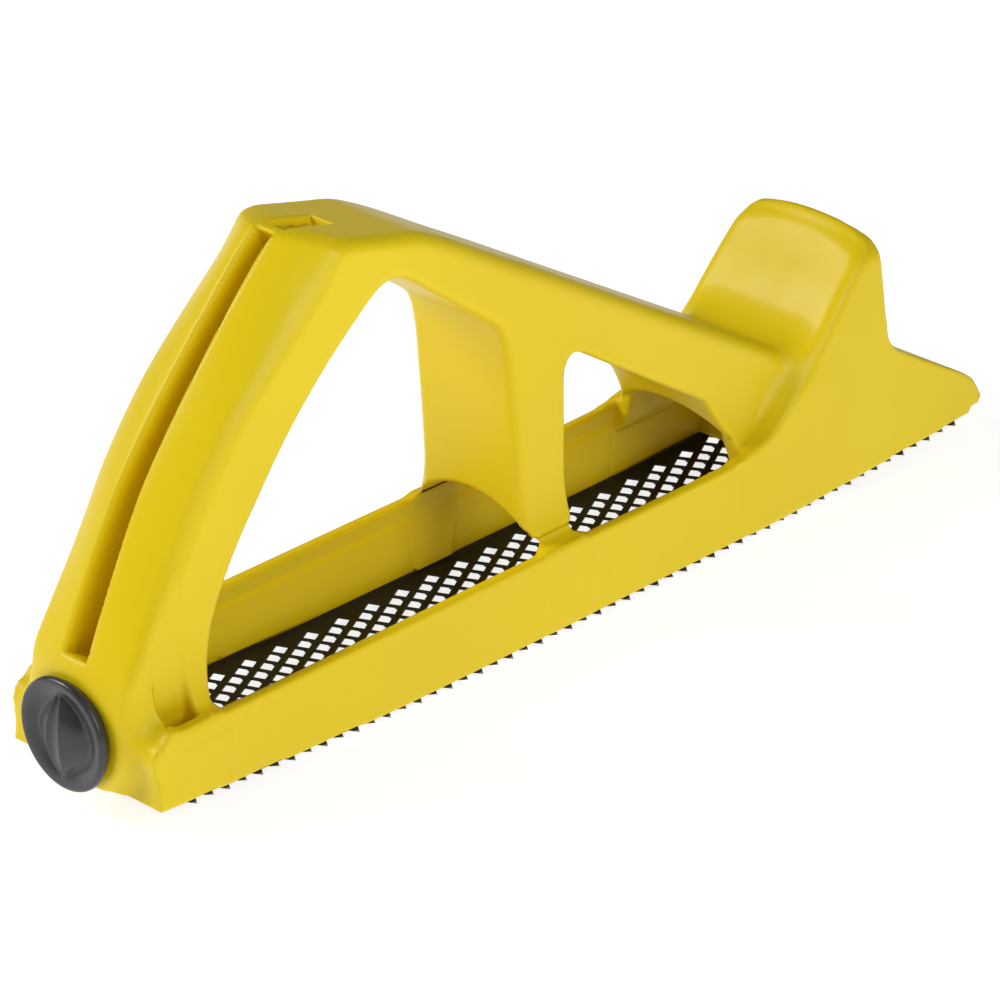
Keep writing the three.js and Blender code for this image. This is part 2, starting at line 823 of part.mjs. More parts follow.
// Fixed hook: a leaf under the nose, bent down into a lug in the blade's front slot
function noseHook() {
  const under = hookLeafHeight - hookPlate;
  const leaf = block(noseHookRear, noseLugFront, hookWidth / 2, under, hookLeafHeight);
  const tip = toothHeight + camber(noseLugFront);
  const lug = block(noseLugFront - hookPlate, noseLugFront, lugWidth / 2, tip, hookLeafHeight);
  const hole = upright(noseScrewAt, under - overrun, hookLeafHeight + overrun,
    smallScrewRadius + gap);
  return leaf.add(lug).subtract(hole);
}

function noseScrew() {
  const under = hookLeafHeight - hookPlate - gap;
  const profile = [
    [0, under - smallScrewHeadHeight], [smallScrewHead, under - smallScrewHeadHeight],
    [smallScrewHead, under], [smallScrewRadius, under],
    [smallScrewRadius, hookLeafHeight + smallScrewGrip], [0, hookLeafHeight + smallScrewGrip],
  ];
  const geometry = new THREE.LatheGeometry(profile.map(([r, z]) => new THREE.Vector2(r, z)), 20);
  geometry.rotateX(Math.PI / 2);
  geometry.translate(noseScrewAt, 0, 0);
  return toSolid(geometry);
}

// The finished model stands with its middle over the origin
const group = new THREE.Group();
const knobFace = knobBack - knobRim - gripBarRise;
group.position.x = -(bodyLength + knobFace) / 2;

function addPiece(name, solid, color, roughness, metalness) {
  const material = new THREE.MeshStandardMaterial({ color, roughness, metalness });
  const mesh = new THREE.Mesh(toGeometry(solid), material);
  mesh.name = name;
  group.add(mesh);
}

const yellow = 0xe8c90f;
const black = 0x2e2e30;
const hardened = 0x17171b;
const zinc = 0xb9bcc0;
const clipFrom = rearWall + gap;
const washerFrom = hubFace + gap;

addPiece('body', body(), yellow, 0.45, 0);
addPiece('blade', blade(), hardened, 0.4, 0.8);
addPiece('knob', knob(), black, 0.3, 0);
addPiece('tension_screw', tensionScrew(), zinc, 0.35, 1);
addPiece('thrust_washer', ring(washerFrom, washerFrom + washerThickness, washerRadius,
  screwRadius + gap), zinc, 0.35, 1);
addPiece('screw_clip', ring(clipFrom, clipFrom + clipThickness, clipRadius,
  screwRadius + gap, 24), zinc, 0.35, 1);
addPiece('tension_hook', tensionHook(), zinc, 0.35, 1);
addPiece('tension_nut', tensionNut(), zinc, 0.35, 1);
addPiece('nose_hook', noseHook(), zinc, 0.35, 1);
addPiece('nose_screw', noseScrew(), zinc, 0.35, 1);

export default group;
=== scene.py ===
import bpy
import numpy as np
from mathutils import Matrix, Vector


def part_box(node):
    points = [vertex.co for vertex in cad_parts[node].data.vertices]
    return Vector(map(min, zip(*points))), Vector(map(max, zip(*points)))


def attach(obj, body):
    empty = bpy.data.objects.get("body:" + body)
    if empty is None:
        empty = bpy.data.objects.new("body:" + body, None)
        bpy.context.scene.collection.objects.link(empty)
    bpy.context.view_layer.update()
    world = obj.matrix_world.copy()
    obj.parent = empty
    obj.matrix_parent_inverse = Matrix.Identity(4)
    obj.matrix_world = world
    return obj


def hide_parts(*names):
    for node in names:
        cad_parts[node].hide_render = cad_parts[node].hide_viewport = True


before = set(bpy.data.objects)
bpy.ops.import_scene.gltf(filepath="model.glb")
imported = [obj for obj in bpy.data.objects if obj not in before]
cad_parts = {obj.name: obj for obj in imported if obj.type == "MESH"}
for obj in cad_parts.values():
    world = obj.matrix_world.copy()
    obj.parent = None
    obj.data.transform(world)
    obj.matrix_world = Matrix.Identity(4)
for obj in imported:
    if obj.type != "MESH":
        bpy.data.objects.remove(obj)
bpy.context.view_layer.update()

# The body
# One moulding in yellow plastic, about 3 mm thick, with drafted sides and round edges.
# It is described as a distance in millimetres from the heel and skinned with even quads.
collar_back = 4.7
collar_radius = 13.6
body_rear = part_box("body")[0].x + collar_back / 1000
side_half = 23.0
side_draft = 0.061
wall = 3.0
rim_height = 21.2
grip_half = 15.0
horn_height = 61.0
hook_room_half = 7.3
screw_height = 18.0
sole_height = 2.3
sole_rise = 3.6
sole_middle = 129.0
sole_flat = 0.3
skin_pitch = 0.95

# Outlines in the side view, as x and z before their corners are eased
outer_line = [
    (0, -4), (0, 3), (-0.2, 8), (-1.6, 14), (-3.3, 21), (-4.5, 27.5), (-4.6, 31), (-3.7, 34.6),
    (0.3, 43.8), (4.7, 52.8), (9.2, 61), (14, 68.8), (22, 79.2), (30, 88.6), (37.2, 96.8),
    (44.3, 104.4), (48, 108), (50.6, 110.2), (52.6, 110.9), (56.5, 110.7), (61, 109.7),
    (68.5, 107.7), (76, 105.8), (81.5, 104.5), (86, 102.7), (91.5, 99.9), (97, 96.8), (108.5, 90),
    (120, 83.4), (139.5, 71.9), (159, 60.4), (178, 49.2), (187, 43.9), (196, 38.7), (206, 33),
    (206, -4), (150, -4), (100, -4), (50, -4)]
hand_line = [
    (17.4, 12), (17.5, 19), (18.8, 25.7), (20.1, 32), (21.9, 38.4), (24.5, 44.2), (27.7, 49.9),
    (31.4, 55.4), (35.4, 60.7), (39.4, 66.1), (43.6, 71.3), (47.9, 76.1), (52.4, 80.6),
    (57.3, 85.2), (62.5, 89.5), (67.3, 93.3), (71.3, 95.7), (75.6, 96.2), (79.9, 94.1),
    (85.5, 89.9), (91.5, 85.4), (97.6, 80.9), (103.2, 76.7), (105.5, 74.4), (107.1, 70.4),
    (108.2, 63.5), (108.9, 54.4), (109.6, 45.3), (110.1, 35.8), (110.6, 26.3), (110.8, 15),
    (110.8, -8), (80, -8), (50, -8), (17.4, -8)]
window_line = [
    (125.1, -8), (125.1, 12), (125.1, 30), (125.1, 45), (125.1, 55.4), (125.4, 58.8),
    (127, 61), (130.2, 60.7), (138.4, 55.4), (146.5, 50.2), (154.5, 45), (161.7, 40.4),
    (168.3, 36.1), (170.2, 34), (171.8, 31.3), (173.7, 28), (175.6, 24), (176.6, 19),
    (176.6, 8), (176.6, -8), (160, -8), (142, -8)]
wall_line = [
    (0, -4), (0, 8), (0, 17.4), (0.9, 19.2), (3, 21.2), (9, 21.2), (60, 21.2), (120, 21.2),
    (178, 21.2), (196, 26.4), (214, 31.6), (221, 33.2), (226.4, 31.4), (231.8, 28.1),
    (237.2, 24.9), (244.3, 20.7), (251.4, 16.5), (254.9, 13.8), (256.7, 11), (257.9, 8.2),
    (256.9, 6.9), (253.4, 6.1), (252.8, 0), (252.8, -4), (180, -4), (120, -4), (60, -4)]
horn_line = [
    (172, -4), (172, 12), (172.4, 20), (176, 21.3), (181.5, 22.2), (184.8, 23.5), (187.8, 25.5),
    (190.6, 28), (193.3, 30.8), (199.5, 37.1), (204.3, 42.7), (209.2, 48.4), (213.6, 53),
    (216.4, 56), (219, 58.9), (220.6, 60.9), (222.4, 61.6), (223.2, 60), (223.6, 56),
    (223.9, 52), (224.3, 47.6), (224.7, 43.3), (225.1, 39), (225.6, 35), (226, 28), (226, 12),
    (226, -4), (200, -4)]
hollow_line = [
    (222, -20), (222, -4), (222, 14), (222, 30), (221.4, 42), (219.8, 48), (217.6, 50.4),
    (214.6, 49), (210.6, 44.6), (205.4, 38.8), (199, 32.4), (191.7, 25.6), (188, 23.6),
    (187, 29), (186, 36), (160, 40), (100, 40), (40, 40), (20.4, 40), (18.6, 38), (18.6, 24),
    (18.6, -4), (18.6, -20), (70, -20), (120, -20), (170, -20)]


def eased(points, rounds=2):
    """Outline with its corners cut twice over, a quarter of the way along each side.
    Each corner is first pushed out by an eighth of its bend, so the curve keeps its place."""
    line = np.array(points, float)
    line -= (np.roll(line, 1, 0) - 2 * line + np.roll(line, -1, 0)) / 8
    for _ in range(rounds):
        after = np.roll(line, -1, 0)
        line = np.stack((0.75 * line + 0.25 * after, 0.25 * line + 0.75 * after), 1)
        line = line.reshape(-1, 2)
    return line


def inside_line(line, x, z):
    """Distance to a closed outline in the side view, negative inside.
    It is the least distance to a side, and its sign turns at each side crossed upwards."""
    nearest = np.full(np.broadcast(x, z).shape, np.inf)
    inside = np.zeros(nearest.shape, bool)
    for (ax, az), (bx, bz) in zip(line, np.roll(line, -1, 0)):
        ex, ez = bx - ax, bz - az
        share = np.clip(((x - ax) * ex + (z - az) * ez) / (ex * ex + ez * ez), 0, 1)
        away = (x - ax - share * ex) ** 2 + (z - az - share * ez) ** 2
        nearest = np.minimum(nearest, away)
        if ex != 0:
            inside ^= ((ax > x) != (bx > x)) & (z < az + (x - ax) * ez / ex)
    return np.where(inside, -1, 1) * np.sqrt(nearest)


def rounded_both(a, b, radius):
    """Where both shapes are, with a convex edge of this radius: the corner's circle."""
    corner = np.hypot(np.maximum(a + radius, 0), np.maximum(b + radius, 0))
    return np.minimum(np.maximum(a, b), -radius) + corner


def filleted_either(a, b, radius):
    """Where either shape is, with a concave fillet of this radius: the corner's circle."""
    corner = np.hypot(np.maximum(radius - a, 0), np.maximum(radius - b, 0))
    return np.maximum(np.minimum(a, b), radius) - corner


def in_all(*shapes):
    """Where all of these shapes are, with sharp edges: the greatest of their distances."""
    greatest = shapes[0]
    for shape in shapes[1:]:
        greatest = np.maximum(greatest, shape)
    return greatest


def band(value, middle, half):
    """Distance beyond a band about its middle, negative inside the band."""
    return np.abs(value - middle) - half


def step(low, high, value):
    """Smooth step from 0 to 1 between two values: 3t squared minus 2t cubed."""
    t = np.clip((value - low) / (high - low), 0, 1)
    return t * t * (3 - 2 * t)


outer_line, hand_line, window_line, wall_line, horn_line, hollow_line = (
    eased(line) for line in (outer_line, hand_line, window_line, wall_line, horn_line,
                             hollow_line))


def sole_camber(x):
    """Rise of the sole above its flat middle, as the power of 1.5 of the way to its ends."""
    beyond = np.maximum(np.abs(x - sole_middle) / sole_middle - sole_flat, 0) / (1 - sole_flat)
    return sole_rise * beyond ** 1.5


def body_distance(x, y, z):
    """Signed distance in millimetres to the moulding's skin, negative inside the plastic.
    Shapes are joined with fillets and cut with rounded edges, in the order of the mould.
    Here a is the distance from the middle plane, and side the distance to the walls."""
    a = np.abs(y)
    side = a - (side_half - side_draft * z)
    outer = inside_line(outer_line, x, z)
    hand = inside_line(hand_line, x, z)
    window = inside_line(window_line, x, z)

    # Handle, bar and pillar: one slab whose sides spread to a foot on the walls. Its crown
    # draws the back and the top of the handle in, by the square of the way off the middle
    foot_height = 18.6 + 2.6 * step(0.4, 3.4, x)
    foot_slant = 0.85 - 0.47 * step(5, 12, x)
    spread = filleted_either(a - grip_half, foot_slant * (z - foot_height), radius=5.8)
    crown = a * a * (1 - step(50, 76, x))
    from_back = crown * (step(18, 58, z) / 32 + step(80, 108, z) / 70)
    from_top = crown * step(76, 106, z) / 70
    outer_edge = 2.8 + 0.8 * step(48, 104, x)
    slab = inside_line(outer_line, x - from_back, z + from_top)
    slab = rounded_both(slab, spread, radius=outer_edge)
    slab = rounded_both(slab, -hand, radius=2.3)
    slab = rounded_both(slab, -window, radius=1.7)
    ledge = 0.9
    slab = np.maximum(slab, side + ledge)

    # Walls and nose, with the hollow horn on them, as one drafted shell
    walls = rounded_both(inside_line(wall_line, x, z), side, radius=1.0)
    horn_crown = 0.009 * a * a
    horn_edge = 3.3 - 2.0 * step(219, 222, x)
    horn_top = rounded_both(side, z - (horn_height - horn_crown), radius=4.6)
    horn = rounded_both(inside_line(horn_line, x, z), horn_top, radius=horn_edge)
    shell = np.maximum(filleted_either(walls, horn, radius=2.5), side)
    hollow_top = rounded_both(side, z - (horn_height - wall - horn_crown), radius=4)
    cavity = in_all(inside_line(hollow_line, x, z), side + wall, hollow_top + 1)
    shell = rounded_both(shell, -cavity, radius=0.8)

    # The slab runs into the shell with a fillet that widens toward the horn and the heel
    run = 1.6 + 5.4 * step(174, 194, x) + 3.0 * (1 - step(1, 8, x))
    solid = filleted_either(slab, shell, radius=run)
    heel_length, heel_height = 18.6, 16.6
    heel = in_all(x - heel_length, z - heel_height, rounded_both(-x, side, radius=1.0))
    solid = rounded_both(filleted_either(solid, heel, radius=0.8), side, radius=0.8)

    # Collar round the knob: a cone that widens forward, its slant made a true distance
    widening, true_slant = 0.6, 0.85
    off_axis = np.hypot(y, z - screw_height)
    cone = true_slant * (off_axis - collar_radius - widening * (x + collar_back))
    collar = np.maximum(rounded_both(cone, -collar_back - x, radius=1.0), x - 3)
    solid = filleted_either(solid, collar, radius=3.0)

    # Groove up the back of the handle, narrower toward its head, between two slanted ends
    groove_half, groove_depth = 3.3, 13
    groove_side = a - groove_half + 0.9 * step(30, 106, z)
    groove_foot = 32.8 - z - 0.42 * x
    groove_head = 0.777 * (x - 51.8) + 0.63 * (z - 110.8)
    groove = in_all(-outer - groove_depth, groove_foot, groove_head, groove_side)
    solid = rounded_both(solid, -groove, radius=0.9)

    # Shallow pocket on the top, and a deep one in the ledge on each side of the heel
    pocket_half, pocket_depth = 3.0, 2.0
    pocket = in_all(-outer - pocket_depth, band(x, middle=61.4, half=6.6), a - pocket_half)
    solid = rounded_both(solid, -pocket, radius=0.6)
    ledge_pocket = rounded_both(band(x, middle=7.8, half=4.4), band(a, middle=16.9, half=2.1),
                                radius=1.0)
    solid = rounded_both(solid, -np.maximum(ledge_pocket, 15.2 - z), radius=0.9)

    # Arch over the blade: straight sides, and half an ellipse above where it springs
    arch_half, arch_rise, arch_spring = 19.2, 14.6, 16
    vault = arch_rise * (np.hypot(a / arch_half, (z - arch_spring) / arch_rise) - 1)
    arch = np.where(z > arch_spring, vault, a - arch_half)
    arch = np.maximum(arch, band(x, middle=100.4, half=75.6))
    solid = rounded_both(solid, -arch, radius=1.2)

    # Hollow ahead of the window, under the bar and inside both its sides and the walls
    bar_skin, bar_side = 3.2, 2.8
    over_bar = 0.866 * (z - 49.2 + 0.5786 * (x - 178))
    front = in_all(over_bar + bar_skin, 176.2 - x, x - 206, side + wall, spread + bar_side)
    solid = rounded_both(solid, -front, radius=0.8)

    # The window is cleared above the rim, where the wide fillet of the horn ran into it
    clear_half = 16.5
    clear = in_all(window, rim_height - z, a - clear_half)
    solid = rounded_both(solid, -clear, radius=0.6)

    # The sole is cut to the blade's curve
    solid = rounded_both(solid, sole_height + sole_camber(x) - z, radius=0.5)

    # Room for the tension gear and for the fixed hook at the nose
    bore_radius, washer_radius, pilot_radius, pilot_x = 3.4, 7.9, 2.2, 239
    channel = in_all(a - hook_room_half, band(x, middle=14, half=10.7), z - 24.3)
    bore = np.maximum(off_axis - bore_radius, x - 8)
    washer = np.maximum(off_axis - washer_radius, x + 1.0)
    hook = in_all(a - hook_room_half, band(x, middle=241.6, half=7.9), z - 14.5)
    pilot = np.maximum(np.hypot(x - pilot_x, y) - pilot_radius, band(z, middle=12, half=9.5))
    for room in (channel, bore, washer, hook, pilot):
        solid = np.maximum(solid, -room)
    return solid


def skin(field, low, pitch):
    """Even quads on the zero surface of a field on a grid. Each cell that the surface
    passes gets one vertex, the mean of where its edges are crossed, and each crossed
    edge gets one quad between its four cells, turned so that it faces outwards."""
    cells = np.array(field.shape) - 1
    total = np.zeros((*cells, 3))
    count = np.zeros(cells)
    crossings = []
    for axis in range(3):
        first = np.take(field, range(cells[axis]), axis)
        second = np.take(field, range(1, cells[axis] + 1), axis)
        crossed = (first < 0) != (second < 0)
        share = np.where(crossed, first / np.where(crossed, first - second, 1), 0)
        b, c = (axis + 1) % 3, (axis + 2) % 3
        for db, dc in ((0, 0), (1, 0), (0, 1), (1, 1)):
            part = [slice(None)] * 3
            part[b] = slice(db, db + cells[b])
            part[c] = slice(dc, dc + cells[c])
            hit = crossed[tuple(part)]
            count += hit
            total[..., axis] += share[tuple(part)]
            total[..., b] += db * hit
            total[..., c] += dc * hit
        crossings.append((crossed, first < 0, b, c))
    number = np.full(cells, -1)
    number[count > 0] = np.arange(np.count_nonzero(count))
    place = np.argwhere(count > 0) + total[count > 0] / count[count > 0][:, None]
    quads = []
    for crossed, outward, b, c in crossings:
        spot = np.argwhere(crossed)
        spot = spot[(spot[:, b] > 0) & (spot[:, c] > 0)
                    & (spot[:, b] < cells[b]) & (spot[:, c] < cells[c])]
        loop = []
        for db, dc in ((-1, -1), (0, -1), (0, 0), (-1, 0)):
            cell = spot.copy()
            cell[:, b] += db
            cell[:, c] += dc
            loop.append(number[tuple(cell.T)])
        loop = np.stack(loop, 1)
        face_out = outward[tuple(spot.T)]
        quads.append(np.where(face_out[:, None], loop, loop[:, ::-1]))
    return low + place * pitch, np.concatenate(quads)


def slope(distance, points, reach=0.04):
    """Gradient and value of a distance from four points round each one: the corners of a
    small tetrahedron, each weighted by its own direction."""
    ways = np.array([(1, -1, -1), (-1, -1, 1), (-1, 1, -1), (1, 1, 1)], float)
    values = [distance(*(points + reach * way).T) for way in ways]
    gradient = sum(value[:, None] * way for value, way in zip(values, ways)) / (4 * reach)
    return gradient, np.mean(values, 0)


def settled(distance, points, rounds=3, least_steep=0.2, longest=0.6):
    """Points moved onto the surface, each along the gradient by the value over its square.
    A flat spot counts as a little steep and no move is long, so that none runs away."""
    for _ in range(rounds):
        gradient, value = slope(distance, points)
        steep = np.maximum(np.sum(gradient ** 2, 1), least_steep)
        points = points - np.clip(value / steep, -longest, longest)[:, None] * gradient
    gradient, _ = slope(distance, points)
    return points, gradient / np.maximum(np.linalg.norm(gradient, axis=1), 1e-6)[:, None]


def in_frame(points):
    """Points given in millimetres from the heel, as metres in the shared frame."""
    return points / 1000 + np.array([body_rear, 0, 0])


def new_piece(name, points, faces, normals=None, smooth=True):
    """Mesh object at the origin from arrays of points and faces."""
    mesh = bpy.data.meshes.new(name)
    mesh.from_pydata(points, [], faces)
    mesh.polygons.foreach_set("use_smooth", np.full(len(mesh.polygons), smooth))
    if normals is not None:
        mesh.normals_split_custom_set_from_vertices(normals)
    mesh.update()
    piece = bpy.data.objects.new(name, mesh)
    bpy.context.scene.collection.objects.link(piece)
    return piece


low, high = np.array([-6.3, -24.2, 1.3]), np.array([259.2, 24.2, 112.4])
grid = [start + skin_pitch * np.arange(int((stop - start) / skin_pitch) + 2)
        for start, stop in zip(low, high)]
field = body_distance(grid[0][:, None, None], grid[1][None, :, None], grid[2][None, None, :])
points, quads = skin(field, low, skin_pitch)
points, normals = settled(body_distance, points)
moulding = new_piece("moulding", in_frame(points), quads, normals)


class Finish:
    """A socket in a material's nodes. Sums on it add Math nodes; node() adds any other."""

    def __init__(self, tree, socket=None):
        self.tree, self.socket = tree, socket

    def node(self, kind, settings, inputs, output=0):
        """Adds a node: first its settings, then the values or links of its sockets."""
        made = self.tree.nodes.new(kind)
        for name, value in settings.items():
            setattr(made, name, value)
        for name, value in inputs.items():
            if isinstance(value, Finish):
                self.tree.links.new(value.socket, made.inputs[name])
            else:
                made.inputs[name].default_value = value
        return Finish(self.tree, made.outputs[output])

    def math(self, operation, first, second):
        """One Math node on two values or links."""
        return self.node("ShaderNodeMath", {"operation": operation}, {0: first, 1: second})

    def __add__(self, other):
        return self.math("ADD", self, other)

    def __radd__(self, other):
        return self.math("ADD", other, self)

    def __mul__(self, other):
        return self.math("MULTIPLY", self, other)

    def __rmul__(self, other):
        return self.math("MULTIPLY", other, self)

    def mix(self, first, second):
        """Colour between two colours, by this socket's value."""
        return self.node("ShaderNodeMix", {"data_type": "RGBA"},
                         {"Factor": self, "A": first, "B": second}, 2)

    def noise(self, scale, detail=2.0, rough=0.5):
        """Noise on the object's own place, with features of about one over its scale."""
        place = self.node("ShaderNodeTexCoord", {}, {}, "Object")
        return self.node("ShaderNodeTexNoise", {}, {
            "Vector": place, "Scale": scale, "Detail": detail, "Roughness": rough})

    def between(self, low, high):
        """This value stretched so that low gives 0 and high gives 1, and held there."""
        return self.node("ShaderNodeMapRange", {"clamp": True},
                         {"Value": self, "From Min": low, "From Max": high})

    def bump(self, strength, distance):
        """Normal of a surface whose fine height is this value times a distance in metres."""
        return self.node("ShaderNodeBump", {}, {
            "Strength": strength, "Distance": distance, "Height": self})


def finish(name, **constants):
    """New material with its shader's constants, then its tree to hang nodes on, then a
    function that links nodes to the shader's other sockets."""
    material = bpy.data.materials.new(name)
    material.use_nodes = True
    tree = material.node_tree
    shader = tree.nodes["Principled BSDF"]
    for socket, value in constants.items():
        shader.inputs[socket.replace("_", " ")].default_value = value

    def feed(**links):
        for socket, value in links.items():
            tree.links.new(value.socket, shader.inputs[socket.replace("_", " ")])
    return material, Finish(tree), feed


def dress(piece, material):
    """Gives a piece or a carried-over solid one material in all its slots."""
    if not piece.material_slots:
        piece.data.materials.append(material)
    for slot in piece.material_slots:
        slot.material = material


# Satin yellow: cloudy pigment, darker flow marks, and a fine spark-eroded grain
yellow, at, feed = finish("yellow plastic", IOR=1.47, Specular_IOR_Level=0.3)
cloud = at.noise(14, 3).between(0.3, 0.7)
flow = at.noise(55, 4, 0.6).between(0.35, 0.75)
colour = cloud.mix((0.80, 0.585, 0.004, 1), (0.86, 0.645, 0.005, 1))
colour = (flow * 0.22).mix(colour, (0.74, 0.55, 0.004, 1))
grain = at.noise(1900, 2, 0.6)
pebble = at.noise(620, 2)
feed(Base_Color=colour, Roughness=0.34 + 0.08 * flow + 0.05 * grain,
     Normal=(grain * 0.6 + pebble * 0.6).bump(0.16, 0.00012))
dress(moulding, yellow)
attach(moulding, "plane")
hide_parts("body")

# The blade
# Thin hardened strip steel, stamped with slanted rows of openings, each with a tooth
# pressed down behind it, then blackened. Teeth are also cut along its right edge.
plate_top = 2.0
plate_thick = 0.42
plate_rear, plate_front, plate_half = 4.0, 254.0, 21.0
slots = ((8.7, 14.8), (246.2, 249.3))
slot_half = 4.3
least_area = 0.0005

# Plain metal at both ends, and round each slot up to this far from the end and the middle
plain_end = 3.6
slot_plain_end, slot_plain_half = 13.4, 6.9

# The openings stand on a slanted lattice, given by its two steps and one opening, and each
# takes up three cells of the grid both ways
row_pitch = 1.95
column = np.array([-3.7, -row_pitch])
across = np.array([1.85, -2 * row_pitch])
first_opening = np.array([132.1, 15.4])
last_row = 17
half_along, half_across = 1.68, 1.42
counts_from, counts_to = np.array([-29, -17]), np.array([34, 23])
opening_cells = 3


def stations(count_from, count_to, shares):
    """Places along one way of the lattice: the same few shares of a pitch in each pitch."""
    return (np.arange(count_from, count_to)[:, None] + np.array(shares)).ravel()


def has_opening(m, n):
    """Which places of the lattice are stamped, and where their middles are. Both ends of
    the strip and the surrounds of its two slots stay plain."""
    middle = first_opening + m[..., None] * column + n[..., None] * across
    row = np.round((first_opening[1] - middle[..., 1]) / row_pitch)
    from_end = -band(middle[..., 0], middle=(plate_front + plate_rear) / 2,
                     half=(plate_front - plate_rear) / 2)
    near_slot = (np.abs(middle[..., 1]) < slot_plain_half) & (from_end < slot_plain_end)
    return (row >= 0) & (row <= last_row) & (from_end > plain_end) & ~near_slot, middle


def stamped_sheet():
    """Corners and quads of the sheet. Its grid lines follow the sides of the openings; a
    corner beyond the strip is brought to its edge, one inside a slot to the slot's edge.
    Cells of openings and slots are left out, and each open side gets a wall."""
    along = half_along / np.hypot(*column)
    over = half_across / np.hypot(*across)
    lines_along = (-along, -along / 3, along / 3, along)
    lines_across = (-over, -over / 3, over / 3, over, 0.5)
    s = stations(counts_from[0], counts_to[0], lines_along)[:, None]
    t = stations(counts_from[1], counts_to[1], lines_across)[None, :]
    x = first_opening[0] + s * column[0] + t * across[0]
    y = first_opening[1] + s * column[1] + t * across[1]
    m, m_cell = np.divmod(np.arange(len(s) - 1)[:, None], len(lines_along))
    n, n_cell = np.divmod(np.arange(t.size - 1)[None, :], len(lines_across))
    stamped, _ = has_opening(m + counts_from[0], n + counts_from[1])
    kept = ~(stamped & (m_cell < opening_cells) & (n_cell < opening_cells))
    middle_x = (x[1:, 1:] + x[:-1, :-1]) / 2
    middle_y = (y[1:, 1:] + y[:-1, :-1]) / 2
    x = np.clip(x, plate_rear, plate_front)
    y = np.clip(y, -plate_half, plate_half)
    for rear, front in slots:
        kept &= ~((middle_x > rear) & (middle_x < front) & (np.abs(middle_y) < slot_half))
        inside = (x > rear) & (x < front) & (np.abs(y) < slot_half)
        side = np.argmin((x - rear, front - x, y + slot_half, slot_half - y), 0)
        x, y = (np.select((inside & (side == 0), inside & (side == 1)), (rear, front), x),
                np.select((inside & (side == 2), inside & (side == 3)),
                          (-slot_half, slot_half), y))
    twice_area = (x[1:, 1:] - x[:-1, :-1]) * (y[:-1, 1:] - y[1:, :-1])
    twice_area -= (y[1:, 1:] - y[:-1, :-1]) * (x[:-1, 1:] - x[1:, :-1])
    kept &= np.abs(twice_area) > 2 * least_area
    z = sole_camber(x) + plate_top
    index = np.arange(x.size).reshape(x.shape)
    ring = (index[:-1, :-1], index[1:, :-1], index[1:, 1:], index[:-1, 1:])
    top = np.stack(ring, -1)[kept]
    quads = [top, top[:, ::-1] + x.size]
    padded = np.pad(kept, 1)
    beyond = (padded[1:-1, :-2], padded[2:, 1:-1], padded[1:-1, 2:], padded[:-2, 1:-1])
    for k, neighbour in enumerate(beyond):
        first = ring[k][kept & ~neighbour]
        second = ring[(k + 1) % 4][kept & ~neighbour]
        quads.append(np.stack((first + x.size, second + x.size, second, first), -1))
    points = np.stack((np.tile(x.ravel(), 2), np.tile(y.ravel(), 2),
                       np.concatenate((z.ravel(), z.ravel() - plate_thick))), -1)
    used, quads = np.unique(np.concatenate(quads), return_inverse=True)
    return points[used], quads.reshape(-1, 4)


def tongues(low, high, thick, tip):
    """Six corners for each tooth: the root from low to high, the same moved through the
    metal, and the tip with the back corner of its ground face a little above it."""
    ground_share, ground_rise = 0.7, 0.25
    back_tip = tip + ground_share * thick + np.array([0, 0, ground_rise])
    return np.stack((low, high, low + thick, high + thick, tip, back_tip), 1)


def on_sheet(flat, height):
    """Places at a height above the curved line that the tips of the teeth stand on."""
    return np.concatenate((flat, sole_camber(flat[:, :1]) + height), 1)


sheet, sheet_quads = stamped_sheet()
counts = np.indices(counts_to - counts_from) + counts_from[:, None, None]
stamped, middles = has_opening(*counts)
middles = middles[stamped]
root = plate_top - 0.6 * plate_thick

# A tooth behind each opening hangs from the right part of the opening's rear side, and
# its tip stands below the right end of that part
tooth_wide, tip_forward, tip_inward = 1.7, 0.15, 0.06
along, over = column / np.hypot(*column), across / np.hypot(*across)
pressed = tongues(
    on_sheet(middles + half_along * along + (half_across - tooth_wide) * over, root),
    on_sheet(middles + half_along * along + half_across * over, root),
    np.append(plate_thick * along, 0),
    on_sheet(middles + (half_along - tip_forward) * along + (half_across - tip_inward) * over, 0))

# Teeth along the right edge lean out and forward a little, every other one shorter
edge_pitch, edge_half, edge_out, edge_forward = 4.625, 1.6, 0.7, 1.5
edge_x = np.arange(plate_rear + 3.2, plate_front - 3, edge_pitch)[:, None]
edge_y = np.full_like(edge_x, -plate_half)
edge_tip = np.where(np.arange(len(edge_x)) % 2, 0.9, 0.5)[:, None]
edged = tongues(
    on_sheet(np.hstack((edge_x + edge_half, edge_y)), root),
    on_sheet(np.hstack((edge_x - edge_half, edge_y)), root), np.array([0, plate_thick, 0]),
    on_sheet(np.hstack((edge_x + edge_forward, edge_y - edge_out)), 0) + edge_tip * [0, 0, 1])

teeth = np.concatenate((pressed, edged))
corner = len(sheet) + 6 * np.arange(len(teeth))[:, None, None]
three = (corner + np.array([(0, 1, 4), (2, 5, 3)])).reshape(-1, 3)
four = (corner + np.array([(1, 3, 5, 4), (0, 4, 5, 2), (0, 2, 3, 1)])).reshape(-1, 4)
plate = new_piece("stamped_plate", in_frame(np.concatenate((sheet, teeth.reshape(-1, 3)))),
                  sheet_quads.tolist() + four.tolist() + three.tolist(), smooth=False)
ground = np.concatenate((np.zeros(len(sheet)), np.tile((0, 0, 0, 0, 1, 1), len(teeth))))
plate.data.attributes.new("ground", "FLOAT", "POINT").data.foreach_set("value", ground)

